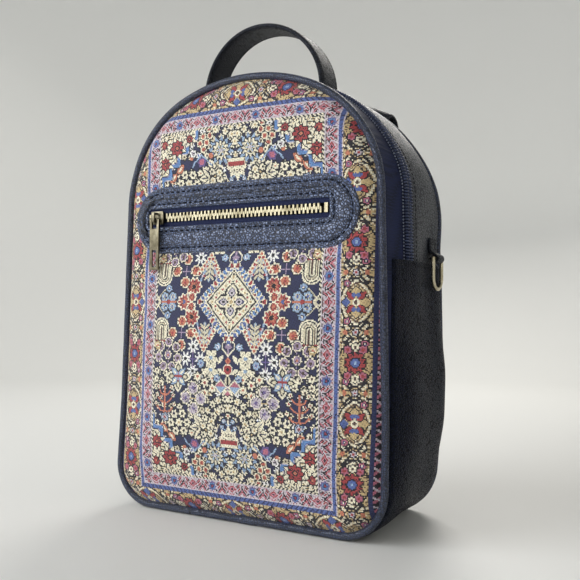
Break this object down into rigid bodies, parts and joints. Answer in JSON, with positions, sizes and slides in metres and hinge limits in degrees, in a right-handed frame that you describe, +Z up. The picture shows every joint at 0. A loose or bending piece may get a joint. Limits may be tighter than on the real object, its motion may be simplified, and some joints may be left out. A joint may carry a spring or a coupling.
{
  "type": "backpack",
  "caption": "Small zipped backpack with a carpet-pattern cloth front, a leather patch pocket with a metal zip, piped seams, a top handle, side rings and adjustable straps",
  "frame": {"origin": "middle of the flat base, on the surface it stands on", "axes": "+X to the bag's right as seen from the front, the front faces -Y, +Z up"},
  "size_m": [0.2294, 0.1337, 0.357],
  "materials": {
    "carpet_cloth": "woven jacquard carpet pattern",
    "navy_leather": "pebbled, semi-matt",
    "navy_tape": "fine herringbone weave",
    "navy_coil": "nylon coil",
    "lining_cloth": "plain weave",
    "stiff_board": "plain",
    "antique_gold": "pale antique gold, satin"
  },
  "bodies": {
    "bag": {"front_panel": "carpet_cloth", "front_piping": "navy_leather", "pocket_patch": "navy_leather", "pocket_pouch": "lining_cloth", "pocket_zip_tape": "navy_tape", "pocket_teeth_upper": "antique_gold", "pocket_teeth_lower": "antique_gold", "pocket_zip_stops": "antique_gold", "zip_strip_front": "navy_tape", "zip_strip_back": "navy_leather", "main_zip_tape": "navy_tape", "main_zip_coil": "navy_coil", "lower_gusset": "navy_leather", "lining": "lining_cloth", "base_board": "stiff_board", "back_panel": "navy_leather", "back_piping": "navy_leather", "handle": "navy_leather", "side_tab_right": "navy_leather", "side_tab_left": "navy_leather", "strap_right": "navy_leather", "strap_left": "navy_leather", "strap_return_right": "navy_leather", "strap_return_left": "navy_leather", "strap_ring_right": "antique_gold", "strap_ring_left": "antique_gold", "strap_tab_right": "navy_leather", "strap_tab_left": "navy_leather"},
    "pocket_slider": {"pocket_slider": "antique_gold"},
    "pocket_puller": {"pocket_puller": "antique_gold"},
    "main_slider": {"main_slider": "antique_gold"},
    "main_puller": {"main_puller": "antique_gold"},
    "side_ring_right": {"side_ring_right": "antique_gold"},
    "side_ring_left": {"side_ring_left": "antique_gold"},
    "adjuster_right": {"adjuster_right": "antique_gold"},
    "adjuster_left": {"adjuster_left": "antique_gold"}
  },
  "joints": [
    {"name": "pocket_zip_slide", "type": "slide", "parent": "bag", "child": "pocket_slider", "axis": [1, 0, 0], "range_m": [0, 0.127]},
    {"name": "pocket_puller_swing", "type": "hinge", "parent": "pocket_slider", "child": "pocket_puller", "pos_m": [-0.0655, -0.0633, 0.2069], "axis": [-1, 0, 0], "range_deg": [0, 165]},
    {"name": "main_zip_slide", "type": "slide", "parent": "bag", "child": "main_slider", "axis": [0.027, 0, 0.9996], "range_m": [0, 0.028]},
    {"name": "main_puller_swing", "type": "hinge", "parent": "main_slider", "child": "main_puller", "pos_m": [-0.10957, -0.017, 0.1816], "axis": [0, 1, 0], "range_deg": [0, 165]},
    {"name": "side_ring_right_swing", "type": "hinge", "parent": "bag", "child": "side_ring_right", "pos_m": [0.11151, 0.02501, 0.18], "axis": [0, -1, 0], "range_deg": [0, 150]},
    {"name": "side_ring_left_swing", "type": "hinge", "parent": "bag", "child": "side_ring_left", "pos_m": [-0.11151, 0.02501, 0.18], "axis": [0, 1, 0], "range_deg": [0, 150]},
    {"name": "adjuster_right_slide", "type": "slide", "parent": "bag", "child": "adjuster_right", "axis": [0, 0, 1], "range_m": [-0.05, 0.06], "deforming": ["strap_return_right"]},
    {"name": "adjuster_left_slide", "type": "slide", "parent": "bag", "child": "adjuster_left", "axis": [0, 0, 1], "range_m": [-0.05, 0.06], "deforming": ["strap_return_left"]}
  ]
}
